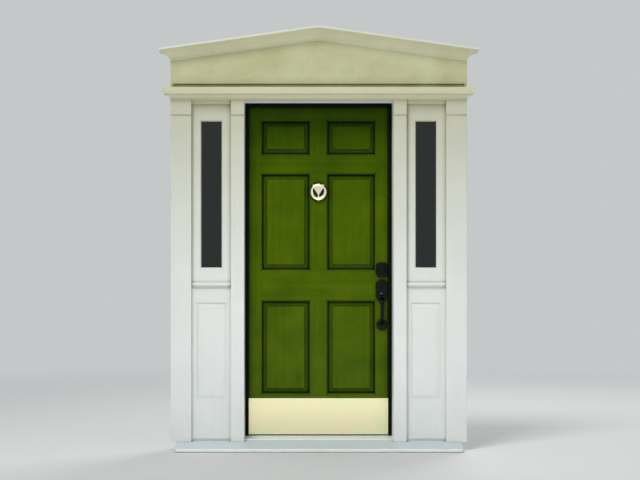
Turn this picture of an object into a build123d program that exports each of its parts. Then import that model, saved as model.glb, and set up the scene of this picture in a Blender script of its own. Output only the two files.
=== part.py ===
# A six panel entry door, hung in its frame, with a glazed sidelight each side and a low pediment.
# X runs across the doorway, Y from outdoors (minus) to indoors (plus), and Z up from the sill's underside.
import os
from math import sqrt

from build123d import *

os.makedirs("parts", exist_ok=True)

# Door leaf
leaf_width = 914.0
leaf_height = 2032.0
leaf_thickness = 44.5
edge_gap = 3.0
sill_gap = 5.0

# Stiles, rails and mullions, each measured over its moulded edges
stile_width = 114.0
mullion_width = 114.0
top_rail_width = 119.0
frieze_rail_width = 126.0
lock_rail_width = 198.0
bottom_rail_width = 254.0
upper_opening_height = 198.0
lock_rail_height = 912.0
sticking_width = 9.0
sticking_quirk = 1.5
groove_width = 10.4
groove_depth = 13.0

# Raised and fielded panels
tongue_thickness = 10.0
panel_clearance = 2.0
bevel_seat = 2.0
bevel_width = 29.0
bevel_rise = 6.5
field_rise = 4.5

# Frame
frame_depth = 166.0
jamb_thickness = 19.0
stop_projection = 12.0
stop_play = 0.2
rabbet_depth = 48.0
post_thickness = 44.0
outer_jamb_thickness = 32.0
sidelight_width = 245.0
sash_thickness = 35.0
shoulder = 12.0
fixing_hole_radius = 4.0
fixing_spacing = 560.0
fixing_hole_depth = 58.0

# Sill and threshold
sill_height = 58.0
sill_nose_height = 22.0
sill_overhang = 105.0
sill_horn = 54.0
sill_rounding = 5.0
sill_corner = 14.0
drip_groove_radius = 4.0
drip_groove_inset = 22.0
threshold_height = 16.0
threshold_front_inset = 22.0
threshold_lip = 6.0

# Pilasters
pilaster_thickness = 28.0
pilaster_lap = 4.0
outer_pilaster_width = 124.0
capital_height = 90.0
capital_projection = 3.0
necking_height = 9.0
necking_projection = 6.0
pilaster_rounding = 2.0

# Sidelights
sash_top_rail = 125.0
sash_bottom_rail = 85.0
sash_sticking = 6.0
glass_width = 123.0
glass_thickness = 6.0
glass_seat = 9.0
glass_play = 0.2
sash_sill_height = 35.0
sash_sill_projection = 15.0
base_height = 920.0
base_side_margin = 32.0
base_top_margin = 92.0
base_bottom_margin = 252.0
base_recess = 6.0
base_bevel = 26.0
base_field_rise = 4.0
base_drip_height = 14.0
base_drip_projection = 5.0
base_drip_lift = 12.0

# Cornice, flashing and pediment
cornice_height = 70.0
cornice_projection = 45.0
cornice_fillet = 4.0
cornice_cove_drop = 40.0
cornice_cove_radius = 26.0
bed_board_height = 22.0
bed_board_thickness = 12.0
flashing_thickness = 1.5
flashing_upstand = 27.0
flashing_inset = 14.0
pediment_eave_height = 239.0
pediment_slope = 0.1416
rake_projection = 62.0
rake_height = 78.0
rake_fillet_height = 18.0
rake_quirk = 4.0
rake_step = 1.2

# Weatherstrip and sweep
strip_reach = 20.0
strip_depth = 14.0
strip_rounding = 6.0
strip_clearance = 0.3
sweep_inset = 9.0
sweep_thickness = 24.0
sweep_fin_gap = 7.0

# Butt hinges
hinge_height = 102.0
hinge_leaf_width = 38.0
hinge_leaf_thickness = 2.6
hinge_top_offset = 178.0
hinge_bottom_offset = 279.0
knuckle_radius = 6.3
knuckle_stand_off = 6.8
knuckle_count = 5
knuckle_gap = 0.3
pin_radius = 3.0
pin_clearance = 0.05
pin_tip_radius = 4.6
pin_tip_height = 4.0

# Locks, measured from the leaf's edge and underside
backset = 70.0
deadbolt_height = 1007.0
latch_height = 867.0
cross_bore_radius = 27.0
edge_bore_radius = 12.6
case_radius = 12.5
faceplate_width = 25.0
faceplate_height = 57.0
faceplate_thickness = 2.2
bolt_thickness = 14.0
bolt_height = 17.0
bolt_length = 40.0
bolt_play = 0.25
deadbolt_throw = 25.4
latch_throw = 12.7
latch_bevel = 9.0
pocket_play = 3.0
strike_width = 28.0
strike_height = 60.0
strike_thickness = 1.6
spindle_radius = 3.5
spindle_play = 0.1
case_tail_thickness = 8.0
case_tail_height = 22.0
case_tail_length = 14.0

# Deadbolt, outside
housing_width = 68.0
housing_height = 84.0
housing_corner = 24.0
housing_thickness = 8.0
collar_radius = 23.0
collar_rise = 13.0
plug_radius = 7.5
plug_play = 0.1
plug_length = 34.0
keyway_width = 1.6
keyway_height = 8.5
keyway_depth = 12.0

# Handleset, outside
plate_top_radius = 35.0
plate_top_rise = 44.0
plate_bottom_radius = 30.0
plate_bottom_drop = 23.0
plate_thickness = 8.0
grip_width = 22.0
grip_depth = 14.0
grip_top_drop = 33.0
grip_bottom_drop = 196.0
grip_stand_off = 54.0
grip_lead = 34.0
grip_bend = 26.0
grip_sink = 3.0
foot_radius = 30.0
foot_thickness = 9.0
thumb_slot_width = 15.0
thumb_slot_height = 20.0
thumb_width = 14.0
thumb_thickness = 5.0
thumb_reach = 48.0
thumb_pad_width = 24.0
thumb_pad_length = 20.0
thumb_droop = 12.0
thumb_pin_radius = 2.0
thumb_pin_length = 22.0
thumb_play = 0.1

# Lock furniture, indoors
rose_radius = 33.0
rose_thickness = 9.0
knob_radius = 27.0
knob_length = 58.0
knob_neck_radius = 10.0
turn_radius = 11.0
turn_length = 22.0
turn_width = 38.0
turn_thickness = 9.0

# Kick plate
kick_plate_clearance = 2.0
kick_plate_height = 220.0
kick_plate_lift = 3.0
kick_plate_thickness = 1.2

# Ring knocker
knocker_drop = 551.0
ring_radius = 44.0
ring_wire_radius = 5.5
ring_gap = 0.3
knocker_plate_thickness = 5.0
knocker_plate_width = 70.0
knocker_plate_rise = 47.0
knocker_shoulder_rise = 34.0
knocker_point_drop = 20.0
knocker_corner = 4.0
knocker_tail_width = 7.0
knocker_tip_radius = 8.0
knocker_lug_width = 16.0
knocker_lug_wall = 2.5
knocker_lug_play = 1.1

# Places across the doorway
leaf_x = leaf_width / 2
rabbet_x = leaf_x + edge_gap
stop_x = rabbet_x - stop_projection
post_start_x = rabbet_x + jamb_thickness
sash_start_x = post_start_x + post_thickness
sash_end_x = sash_start_x + sidelight_width
frame_x = sash_end_x + outer_jamb_thickness
sash_x = (sash_start_x + sash_end_x) / 2
bay_start_x = sash_start_x + pilaster_lap
bay_end_x = sash_end_x - pilaster_lap
trim_x = bay_end_x + outer_pilaster_width
lock_x = leaf_x - backset
sticking_x = leaf_x - stile_width

# Places from outdoors to indoors
frame_front = -frame_depth / 2
frame_back = frame_depth / 2
trim_front = frame_front - pilaster_thickness
sill_front = trim_front - sill_overhang
stop_back = frame_back - rabbet_depth
leaf_front = frame_back - leaf_thickness
leaf_y = frame_back - leaf_thickness / 2
sash_back = frame_front + sash_thickness

# Heights
threshold_z = sill_height + threshold_height
leaf_z = threshold_z + sill_gap
rabbet_z = leaf_z + leaf_height + edge_gap
stop_z = rabbet_z - stop_projection
head_z = rabbet_z + jamb_thickness
cornice_z = stop_z + cornice_height
base_z = sill_height + base_height
sash_z = base_z + sash_sill_height
deadbolt_z = leaf_z + deadbolt_height
latch_z = leaf_z + latch_height
knocker_z = leaf_z + leaf_height - knocker_drop
eave_z = cornice_z + pediment_eave_height
apex_z = eave_z + trim_x * pediment_slope
sill_slope = (sill_height - sill_nose_height) / (frame_front - sill_front)

side_signs = {"left": -1, "right": 1}


def hand_in(piece, name):
    """Label a finished piece and write its STEP file."""
    piece.part.label = name
    export_step(piece.part, f"parts/{name}.step")


def rectangle_between(u0, v0, u1, v1, mode=Mode.ADD):
    """Draw a rectangle from one corner to the opposite one."""
    with Locations(((u0 + u1) / 2, (v0 + v1) / 2)):
        Rectangle(abs(u1 - u0), abs(v1 - v0), mode=mode)


def hand_in_pair(right_piece, name):
    """Write a right hand piece and its mirror image for the left side."""
    with BuildPart() as left_piece:
        mirror(right_piece.part, about=Plane.YZ)
    hand_in(left_piece, f"{name}_left")
    hand_in(right_piece, f"{name}_right")


# Sill board: level under the frame, sloped outside it, with a drip groove under its nose
with BuildPart() as sill_board:
    with BuildSketch(Plane.YZ):
        with BuildLine():
            Polyline(
                (sill_front, 0),
                (frame_front, 0),
                (frame_front, sill_height),
                (sill_front, sill_nose_height),
                close=True,
            )
        make_face()
        with Locations((sill_front + drip_groove_inset, 0)):
            Circle(drip_groove_radius, mode=Mode.SUBTRACT)
    extrude(amount=frame_x + sill_horn, both=True)
    fillet(sill_board.edges().filter_by(Axis.Z).group_by(Axis.Y)[0], sill_corner)
    nose_edges = sill_board.edges().filter_by(Axis.X).group_by(Axis.Y)[0]
    fillet(nose_edges, sill_rounding)
    with BuildSketch(Plane.YZ):
        rectangle_between(frame_front, 0, frame_back, sill_height)
    extrude(amount=frame_x, both=True)
hand_in(sill_board, "sill_board")

# Threshold: a ribbed aluminium section between the jambs, with its high ridge under the leaf
with BuildPart() as threshold:
    with BuildSketch(Plane.YZ):
        with BuildLine():
            Polyline(
                (frame_front + threshold_front_inset, sill_height),
                (stop_back, sill_height),
                (stop_back, threshold_z),
                (leaf_front - threshold_height, threshold_z),
                (frame_front + threshold_front_inset + threshold_height, sill_height + threshold_height / 2),
                (frame_front + threshold_front_inset, sill_height + threshold_lip),
                close=True,
            )
        make_face()
    extrude(amount=stop_x, both=True)
    with BuildSketch(Plane.YZ):
        with BuildLine():
            Polyline(
                (stop_back, sill_height),
                (frame_back, sill_height),
                (frame_back, threshold_z - threshold_lip),
                (frame_back - threshold_lip, threshold_z),
                (stop_back, threshold_z),
                close=True,
            )
        make_face()
    extrude(amount=rabbet_x, both=True)
hand_in(threshold, "threshold")


# Butt hinges: five knuckles on a loose pin, with the leaves let in flush
hinge_heights = (
    leaf_z + hinge_bottom_offset + hinge_height / 2,
    leaf_z + (hinge_bottom_offset + leaf_height - hinge_top_offset) / 2,
    leaf_z + leaf_height - hinge_top_offset - hinge_height / 2,
)
pin_x = -(leaf_x + rabbet_x) / 2
pin_y = frame_back + knuckle_stand_off
knuckle_length = (hinge_height - (knuckle_count - 1) * knuckle_gap) / knuckle_count


def hinge_leaves(outer_face_x, inner_face_x, first_knuckle):
    """One leaf of each hinge, with every second knuckle counted from the first one given."""
    with BuildPart() as leaves:
        for centre_z in hinge_heights:
            foot_z = centre_z - hinge_height / 2
            with BuildSketch(Plane.XY.offset(foot_z)):
                rectangle_between(outer_face_x, frame_back - hinge_leaf_width, inner_face_x, frame_back)
            extrude(amount=hinge_height)
            for index in range(first_knuckle, knuckle_count, 2):
                with BuildSketch(Plane.XY.offset(foot_z + index * (knuckle_length + knuckle_gap))):
                    rectangle_between(outer_face_x, frame_back - knuckle_radius, inner_face_x, pin_y)
                    with Locations((pin_x, pin_y)):
                        Circle(knuckle_radius)
                        Circle(pin_radius + pin_clearance, mode=Mode.SUBTRACT)
                extrude(amount=knuckle_length)
    return leaves


hinge_frame_leaves = hinge_leaves(-rabbet_x - hinge_leaf_thickness, -rabbet_x, 0)
hand_in(hinge_frame_leaves, "hinge_frame_leaves")
hinge_door_leaves = hinge_leaves(-leaf_x, -leaf_x + hinge_leaf_thickness, 1)
hand_in(hinge_door_leaves, "hinge_door_leaves")

with BuildPart() as hinge_pins:
    for centre_z in hinge_heights:
        with BuildSketch(Plane.XY.offset(centre_z - hinge_height / 2 - pin_tip_height)):
            with Locations((pin_x, pin_y)):
                Circle(pin_radius)
        extrude(amount=hinge_height + 2 * pin_tip_height)
        for tip_z in (centre_z - hinge_height / 2 - pin_tip_height, centre_z + hinge_height / 2):
            with BuildSketch(Plane.XY.offset(tip_z)):
                with Locations((pin_x, pin_y)):
                    Circle(pin_tip_radius)
            extrude(amount=pin_tip_height)
hand_in(hinge_pins, "hinge_pins")


# Strikes, one for each bolt, and the pockets behind them
bolt_throws = {"deadbolt": (deadbolt_z, deadbolt_throw), "latch": (latch_z, latch_throw)}
pocket_width = bolt_thickness + 2 * pocket_play
pocket_height = bolt_height + 2 * pocket_play


with BuildPart() as bolt_pockets:
    for bolt_z, throw in bolt_throws.values():
        with BuildSketch(Plane.YZ.offset(rabbet_x)):
            with Locations((leaf_y, bolt_z)):
                Rectangle(pocket_width, pocket_height)
        extrude(amount=throw - edge_gap + pocket_play)

with BuildPart() as strike_plates:
    for bolt_z, throw in bolt_throws.values():
        with BuildSketch(Plane.YZ.offset(rabbet_x)):
            with Locations((leaf_y, bolt_z)):
                RectangleRounded(strike_width, strike_height, strike_width / 5)
                Rectangle(pocket_width, pocket_height, mode=Mode.SUBTRACT)
        extrude(amount=strike_thickness)
hand_in(strike_plates, "strike_plates")


# Door jambs, plain boards let in for the hinges and the strikes
with BuildPart() as hinge_jamb:
    with BuildSketch(Plane.XY.offset(sill_height)):
        rectangle_between(-post_start_x, frame_front, -rabbet_x, frame_back)
    extrude(amount=rabbet_z - sill_height)
    for centre_z in hinge_heights:
        with BuildSketch(Plane.XY.offset(centre_z - hinge_height / 2)):
            rectangle_between(
                -rabbet_x - hinge_leaf_thickness, frame_back - hinge_leaf_width, -rabbet_x, frame_back
            )
        extrude(amount=hinge_height, mode=Mode.SUBTRACT)
hand_in(hinge_jamb, "hinge_jamb")

with BuildPart() as lock_jamb:
    with BuildSketch(Plane.XY.offset(sill_height)):
        rectangle_between(rabbet_x, frame_front, post_start_x, frame_back)
    extrude(amount=rabbet_z - sill_height)
    add(bolt_pockets.part, mode=Mode.SUBTRACT)
    add(strike_plates.part, mode=Mode.SUBTRACT)
hand_in(lock_jamb, "lock_jamb")

with BuildPart() as head_jamb:
    with BuildSketch(Plane.YZ):
        rectangle_between(frame_front, rabbet_z, frame_back, head_z)
    extrude(amount=frame_x, both=True)
hand_in(head_jamb, "head_jamb")

# Door stops: wide strips planted on the jambs, with the head stop fitted between the side ones
with BuildPart() as door_stops:
    for side in side_signs.values():
        with BuildSketch(Plane.XY.offset(sill_height)):
            rectangle_between(side * stop_x, frame_front, side * rabbet_x, stop_back)
        extrude(amount=rabbet_z - sill_height)
    with BuildSketch(Plane.YZ):
        rectangle_between(frame_front, stop_z, stop_back, rabbet_z)
    extrude(amount=stop_x - stop_play, both=True)
hand_in(door_stops, "door_stops")

# Mull posts between doorway and sidelight, with a shoulder that the sash stands against
with BuildPart() as mull_post_left:
    with BuildSketch(Plane.XY.offset(sill_height)):
        rectangle_between(-sash_start_x, frame_front, -post_start_x, sash_back)
        rectangle_between(-sash_start_x - shoulder, sash_back, -post_start_x, frame_back)
    extrude(amount=rabbet_z - sill_height)
hand_in(mull_post_left, "mull_post_left")

with BuildPart() as mull_post_right:
    mirror(mull_post_left.part, about=Plane.YZ)
    add(bolt_pockets.part, mode=Mode.SUBTRACT)
hand_in(mull_post_right, "mull_post_right")

# Outer jambs, drilled for the fixings into the wall
fixing_z = (sill_height + rabbet_z) / 2
with BuildPart() as outer_jamb:
    with BuildSketch(Plane.XY.offset(sill_height)):
        rectangle_between(sash_end_x, frame_front, frame_x, sash_back)
        rectangle_between(sash_end_x - shoulder, sash_back, frame_x, frame_back)
    extrude(amount=rabbet_z - sill_height)
    with BuildSketch(Plane.YZ.offset(frame_x)):
        with Locations((frame_back - fixing_hole_depth, fixing_z)):
            with GridLocations(0, fixing_spacing, 1, 4):
                Circle(fixing_hole_radius)
    extrude(amount=-outer_jamb_thickness - shoulder, mode=Mode.SUBTRACT)
hand_in_pair(outer_jamb, "outer_jamb")


# Pilasters: plain boards scribed to the sill's slope, each with a necking and a capital
def pilaster(start_x, end_x):
    """A pilaster between two places across the front."""
    with BuildPart() as board:
        with BuildSketch(Plane.YZ.offset(start_x)):
            with BuildLine():
                Polyline(
                    (frame_front, sill_height),
                    (frame_front, stop_z),
                    (trim_front, stop_z),
                    (trim_front, sill_height - pilaster_thickness * sill_slope),
                    close=True,
                )
            make_face()
        extrude(amount=end_x - start_x)
        front_edges = board.edges().filter_by(Axis.Z).group_by(Axis.Y)[0]
        fillet(front_edges, pilaster_rounding)
        with BuildSketch(Plane.YZ.offset(start_x)):
            neck_z = stop_z - capital_height
            with BuildLine():
                Polyline(
                    (frame_front, neck_z),
                    (frame_front, stop_z),
                    (trim_front - capital_projection, stop_z),
                    (trim_front - capital_projection, neck_z + necking_height),
                )
                ThreePointArc(
                    (trim_front - capital_projection, neck_z + necking_height),
                    (trim_front - necking_projection, neck_z + necking_height / 2),
                    (trim_front - capital_projection, neck_z),
                )
                Line((trim_front - capital_projection, neck_z), (frame_front, neck_z))
            make_face()
        extrude(amount=end_x - start_x)
    return board


hand_in_pair(pilaster(stop_x, bay_start_x), "inner_pilaster")
hand_in_pair(pilaster(bay_end_x, trim_x), "outer_pilaster")

# Sidelight sashes, glazed in a groove, with a chamfer round the sight line
glass_bottom_z = sash_z + sash_bottom_rail
glass_top_z = stop_z - sash_top_rail
glass_z = (glass_bottom_z + glass_top_z) / 2
glass_height = glass_top_z - glass_bottom_z
glass_y = frame_front + sash_thickness / 2
with BuildPart() as sidelight_sash:
    with BuildSketch(Plane.XZ.offset(-sash_back)):
        rectangle_between(sash_start_x, sash_z, sash_end_x, rabbet_z)
        with Locations((sash_x, glass_z)):
            Rectangle(glass_width, glass_height, mode=Mode.SUBTRACT)
    extrude(amount=sash_thickness)
    with BuildSketch(Plane.XZ.offset(-glass_y)):
        with Locations((sash_x, glass_z)):
            Rectangle(glass_width + 2 * (glass_seat + glass_play), glass_height + 2 * (glass_seat + glass_play))
    extrude(amount=glass_thickness / 2 + glass_play, both=True, mode=Mode.SUBTRACT)
    with BuildSketch(Plane.XZ.offset(-frame_front)):
        with Locations((sash_x, glass_z)):
            Rectangle(glass_width + 2 * sash_sticking, glass_height + 2 * sash_sticking)
    with BuildSketch(Plane.XZ.offset(-frame_front - sash_sticking)):
        with Locations((sash_x, glass_z)):
            Rectangle(glass_width, glass_height)
    loft(mode=Mode.SUBTRACT)
hand_in_pair(sidelight_sash, "sidelight_sash")

with BuildPart() as sidelight_panes:
    with BuildSketch(Plane.XZ.offset(-glass_y)):
        with Locations((-sash_x, glass_z), (sash_x, glass_z)):
            Rectangle(glass_width + 2 * glass_seat, glass_height + 2 * glass_seat)
    extrude(amount=glass_thickness / 2, both=True)
hand_in(sidelight_panes, "sidelight_panes")

# Moulded sill under each sash, nosed between the pilasters
with BuildPart() as sash_sill:
    with BuildSketch(Plane.XZ.offset(-sash_back)):
        rectangle_between(sash_start_x, base_z, sash_end_x, sash_z)
    extrude(amount=sash_thickness)
    with BuildSketch(Plane.YZ.offset(bay_start_x)):
        with BuildLine():
            nose_y = frame_front - sash_sill_projection
            Polyline(
                (frame_front, sash_z),
                (nose_y, sash_z - sash_sill_height / 5),
                (nose_y, base_z + sash_sill_height / 3),
                (frame_front - sash_sill_projection / 2, base_z + sash_sill_height / 5),
                (frame_front - sash_sill_projection / 2, base_z),
                (frame_front, base_z),
                close=True,
            )
        make_face()
    extrude(amount=bay_end_x - bay_start_x)
hand_in_pair(sash_sill, "sash_sill")

# Base panels under the sidelights, with a low raised field and a drip along the foot
with BuildPart() as base_panel:
    with BuildSketch(Plane.XZ.offset(-sash_back)):
        rectangle_between(sash_start_x, sill_height, sash_end_x, base_z)
    extrude(amount=sash_thickness)
    field_left = bay_start_x + base_side_margin
    field_right = bay_end_x - base_side_margin
    field_bottom = sill_height + base_bottom_margin
    field_top = base_z - base_top_margin
    with BuildSketch(Plane.XZ.offset(-frame_front)):
        rectangle_between(field_left, field_bottom, field_right, field_top)
    extrude(amount=-base_recess, mode=Mode.SUBTRACT)
    with BuildSketch(Plane.XZ.offset(-frame_front - base_recess)):
        rectangle_between(field_left, field_bottom, field_right, field_top)
    with BuildSketch(Plane.XZ.offset(-frame_front - base_recess + base_field_rise)):
        rectangle_between(
            field_left + base_bevel, field_bottom + base_bevel, field_right - base_bevel, field_top - base_bevel
        )
    loft()
    with BuildSketch(Plane.XZ.offset(-frame_front)):
        drip_z = sill_height + base_drip_lift
        rectangle_between(bay_start_x, drip_z, bay_end_x, drip_z + base_drip_height)
    extrude(amount=base_drip_projection)
hand_in_pair(base_panel, "base_panel")

# Cornice: a crown with a cove bed, mitred round both ends and returned to the wall, and a board in each bay
with BuildPart() as cornice:
    with BuildSketch(Plane.XY.offset(stop_z)):
        rectangle_between(-trim_x, frame_front, trim_x, trim_front)
    extrude(amount=cornice_height)
    with BuildSketch(Plane.XY.offset(stop_z)):
        for side in side_signs.values():
            rectangle_between(
                side * bay_start_x, frame_front, side * bay_end_x, frame_front - bed_board_thickness
            )
    extrude(amount=-bed_board_height)
    with BuildLine() as cornice_path:
        Polyline(
            (-trim_x, frame_front, stop_z),
            (-trim_x, trim_front, stop_z),
            (trim_x, trim_front, stop_z),
            (trim_x, frame_front, stop_z),
        )
    with BuildSketch(Plane(origin=(-trim_x, frame_front, stop_z), x_dir=(-1, 0, 0), z_dir=(0, 1, 0))):
        cove_top = cornice_height - cornice_cove_drop
        cove_out = cornice_projection / 2
        with BuildLine():
            Polyline(
                (0, cornice_height),
                (0, 0),
                (cornice_fillet, 0),
                (cornice_fillet, cornice_fillet),
            )
            RadiusArc(
                (cornice_fillet, cornice_fillet),
                (cove_out, cove_top),
                cornice_cove_radius,
            )
            Polyline(
                (cove_out, cove_top),
                (cornice_projection - 2 * cornice_fillet, cove_top),
                (cornice_projection - cornice_fillet, cove_top + cornice_fillet),
                (cornice_projection, cornice_height - 2 * cornice_fillet),
                (cornice_projection, cornice_height),
                (0, cornice_height),
            )
        make_face()
    sweep(path=cornice_path.line, transition=Transition.RIGHT)
hand_in(cornice, "cornice")

# Head flashing: over the cornice and up the foot of the pediment
with BuildPart() as head_flashing:
    rebate_y = trim_front + flashing_thickness * 6
    with BuildSketch(Plane.YZ):
        rectangle_between(
            trim_front - cornice_projection + cornice_fillet, cornice_z, rebate_y, cornice_z + flashing_thickness
        )
        rectangle_between(rebate_y - flashing_thickness, cornice_z, rebate_y, cornice_z + flashing_upstand)
    extrude(amount=trim_x - flashing_inset, both=True)
hand_in(head_flashing, "head_flashing")

# Tympanum: one gabled panel, rebated along its foot for the flashing
with BuildPart() as tympanum:
    with BuildSketch(Plane.XZ.offset(-frame_front)):
        with BuildLine():
            Polyline(
                (-trim_x, cornice_z),
                (trim_x, cornice_z),
                (trim_x, eave_z),
                (0, apex_z),
                (-trim_x, eave_z),
                close=True,
            )
        make_face()
    extrude(amount=pilaster_thickness)
    with BuildSketch(Plane.YZ):
        rectangle_between(trim_front, cornice_z, rebate_y, cornice_z + flashing_upstand)
    extrude(amount=trim_x - flashing_inset, both=True, mode=Mode.SUBTRACT)
hand_in(tympanum, "tympanum")


# Raking mouldings: the crown climbs the slope, turns the corner at the eave and returns to the wall
def crown_outline(line_height, at):
    """Draw the crown's outline: at(p) gives the sketch's first axis for a projection p."""
    cove_start = (rake_projection - rake_quirk, rake_fillet_height + rake_quirk / 2)
    cove_end = (rake_step, rake_height - 2 * rake_step)
    cove_mid = (rake_projection * 0.36, rake_height * 0.48)

    def point(projection, drop):
        return (at(projection), line_height(projection) - drop)

    Polyline(
        point(-pilaster_thickness, 0),
        point(rake_projection, 0),
        point(rake_projection, rake_fillet_height),
        point(cove_start[0], rake_fillet_height),
        point(*cove_start),
    )
    ThreePointArc(point(*cove_start), point(*cove_mid), point(*cove_end))
    Polyline(
        point(*cove_end),
        point(rake_step, rake_height),
        point(-pilaster_thickness, rake_height),
        point(-pilaster_thickness, 0),
    )


with BuildPart() as rake_moulding:
    with BuildSketch(Plane.YZ):
        with BuildLine():
            crown_outline(lambda projection: apex_z, lambda projection: trim_front - projection)
        make_face()
    rake_run = trim_x + rake_projection
    extrude(amount=rake_run * sqrt(1 + pediment_slope**2), dir=(1, 0, -pediment_slope))
    with BuildSketch(Plane.XZ.offset(-frame_front)):
        with BuildLine():
            crown_outline(
                lambda projection: eave_z - projection * pediment_slope, lambda projection: trim_x + projection
            )
        make_face()
        with BuildLine():
            Polyline(
                (0, apex_z),
                (trim_x - pilaster_thickness / 2, eave_z + pilaster_thickness / 2 * pediment_slope),
                (trim_x - pilaster_thickness / 2, eave_z + pilaster_thickness / 2 * pediment_slope - rake_height),
                (0, apex_z - rake_height),
                close=True,
            )
        make_face()
    extrude(amount=pilaster_thickness + rake_projection, mode=Mode.INTERSECT)
    with BuildSketch(Plane.XY.offset(cornice_z)):
        rectangle_between(0, frame_front, trim_x, trim_front)
    extrude(amount=apex_z, mode=Mode.SUBTRACT)
hand_in_pair(rake_moulding, "rake_moulding")

# Weatherstrip: soft strips on the stop, up both sides of the leaf and across its head
strip_front = leaf_front - strip_depth
with BuildPart() as weatherstrip:
    for side in side_signs.values():
        with BuildSketch(Plane.XY.offset(threshold_z)) as side_strip:
            rectangle_between(
                side * (stop_x - strip_reach), strip_front, side * stop_x, leaf_front - strip_clearance
            )
            outer_corner = side_strip.vertices().group_by(Axis.Y)[0].sort_by(Axis.X)[0 if side > 0 else -1]
            fillet(outer_corner, strip_rounding)
            rectangle_between(side * stop_x, stop_back, side * (leaf_x - edge_gap), leaf_front - strip_clearance)
        extrude(amount=stop_z - threshold_z)
    with BuildSketch(Plane.YZ) as head_strip:
        rectangle_between(strip_front, stop_z - strip_reach, leaf_front - strip_clearance, stop_z)
        outer_corner = head_strip.vertices().group_by(Axis.Y)[0].sort_by(Axis.X)[0]
        fillet(outer_corner, strip_rounding)
        rectangle_between(stop_back, stop_z, leaf_front - strip_clearance, stop_z + stop_projection - edge_gap)
    extrude(amount=stop_x - strip_reach - strip_clearance, both=True)
hand_in(weatherstrip, "weatherstrip")


# Stiles, rails and mullions: grooved for the panels, with an ovolo stuck along each inner edge
def framing_section(width, moulded_edges):
    """Section of a framing piece: first axis across its width, second through the leaf."""
    half_width = width / 2
    face = leaf_thickness / 2
    sine = sqrt(0.5)
    with BuildSketch() as section:
        Rectangle(width, leaf_thickness)
        for edge in moulded_edges:
            with Locations((edge * (half_width - groove_depth / 2), 0)):
                Rectangle(groove_depth, groove_width, mode=Mode.SUBTRACT)
            for side in (-1, 1):
                sticking_start = half_width - sticking_width
                ovolo_top = face - sticking_quirk
                ovolo_centre = ovolo_top - sticking_width
                with BuildLine():
                    Polyline(
                        (edge * half_width, side * ovolo_centre),
                        (edge * half_width, side * face),
                        (edge * sticking_start, side * face),
                        (edge * sticking_start, side * ovolo_top),
                    )
                    ThreePointArc(
                        (edge * sticking_start, side * ovolo_top),
                        (
                            edge * (sticking_start + sticking_width * sine),
                            side * (ovolo_centre + sticking_width * sine),
                        ),
                        (edge * half_width, side * ovolo_centre),
                    )
                make_face(mode=Mode.SUBTRACT)
    return section.sketch


stile_centre = leaf_x - stile_width / 2
with BuildPart() as hinge_stile_blank:
    with BuildSketch(Plane(origin=(-stile_centre, leaf_y, leaf_z))):
        add(framing_section(stile_width, [1]))
    extrude(amount=leaf_height)
with BuildPart() as lock_stile_blank:
    mirror(hinge_stile_blank.part, about=Plane.YZ)

with BuildPart() as hinge_stile:
    add(hinge_stile_blank.part)
    for centre_z in hinge_heights:
        with BuildSketch(Plane.XY.offset(centre_z - hinge_height / 2)):
            rectangle_between(
                -leaf_x, frame_back - hinge_leaf_width, -leaf_x + hinge_leaf_thickness, frame_back
            )
        extrude(amount=hinge_height, mode=Mode.SUBTRACT)
hand_in(hinge_stile, "hinge_stile")

with BuildPart() as lock_stile:
    add(lock_stile_blank.part)
    for bolt_z, throw in bolt_throws.values():
        with BuildSketch(Plane.XZ.offset(-leaf_front)):
            with Locations((lock_x, bolt_z)):
                Circle(cross_bore_radius)
        extrude(amount=-leaf_thickness, mode=Mode.SUBTRACT)
        with BuildSketch(Plane.YZ.offset(leaf_x)):
            with Locations((leaf_y, bolt_z)):
                Circle(edge_bore_radius)
        extrude(amount=-backset, mode=Mode.SUBTRACT)
        with BuildSketch(Plane.YZ.offset(leaf_x)):
            with Locations((leaf_y, bolt_z)):
                Rectangle(faceplate_width, faceplate_height)
        extrude(amount=-faceplate_thickness, mode=Mode.SUBTRACT)
hand_in(lock_stile, "lock_stile")

# Each rail is coped over the stiles: name, height of its middle above the leaf's underside, width, edges
rails = {
    "top_rail": (leaf_height - top_rail_width / 2, top_rail_width, [-1]),
    "frieze_rail": (
        leaf_height - top_rail_width - upper_opening_height - frieze_rail_width / 2,
        frieze_rail_width,
        [-1, 1],
    ),
    "lock_rail": (lock_rail_height, lock_rail_width, [-1, 1]),
    "bottom_rail": (bottom_rail_width / 2, bottom_rail_width, [1]),
}
rail_reach = sticking_x + groove_depth
rail_parts = {}
for rail_name, (rail_height, rail_width, moulded_edges) in rails.items():
    with BuildPart() as rail:
        rail_origin = (-rail_reach, leaf_y, leaf_z + rail_height)
        with BuildSketch(Plane(origin=rail_origin, x_dir=(0, 0, 1), z_dir=(1, 0, 0))):
            add(framing_section(rail_width, moulded_edges))
        extrude(amount=2 * rail_reach)
        add(hinge_stile_blank.part, mode=Mode.SUBTRACT)
        add(lock_stile_blank.part, mode=Mode.SUBTRACT)
    hand_in(rail, rail_name)
    rail_parts[rail_name] = rail.part

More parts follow.
